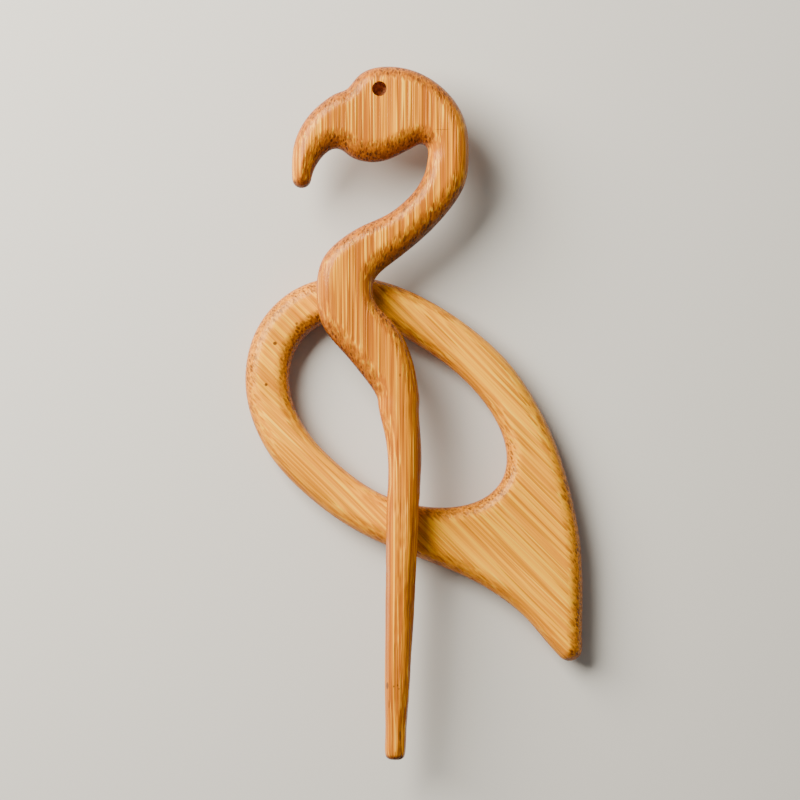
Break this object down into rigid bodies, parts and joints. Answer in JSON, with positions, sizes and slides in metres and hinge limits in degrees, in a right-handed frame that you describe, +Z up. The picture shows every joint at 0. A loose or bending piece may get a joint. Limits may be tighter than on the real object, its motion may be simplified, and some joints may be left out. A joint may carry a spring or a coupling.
{
  "type": "shawl pin",
  "caption": "Wooden shawl pin shaped like a wading bird: an open flat ring with a tail frames gathered knitting, and a tapered stick with a curved neck and hooked beak holds it.",
  "frame": {"origin": "centre of the whole pin's footprint, on the surface that the ring lies on", "axes": "+X across the pin towards the tail's side, +Y along the leg towards the head, +Z up out of the surface, from the ring towards the stick that lies on it"},
  "size_m": [0.0588, 0.1202, 0.0122],
  "materials": {
    "ring_bamboo": "sanded and waxed, satin",
    "stick_bamboo": "sanded and waxed, satin"
  },
  "bodies": {
    "body_ring": {"body_ring": "ring_bamboo"},
    "stick": {"stick": "stick_bamboo"}
  },
  "joints": [
    {"name": "stick_slide", "type": "slide", "parent": "body_ring", "child": "stick", "axis": [0.0332, 0.9995, 0], "range_m": [0, 0.09]}
  ]
}
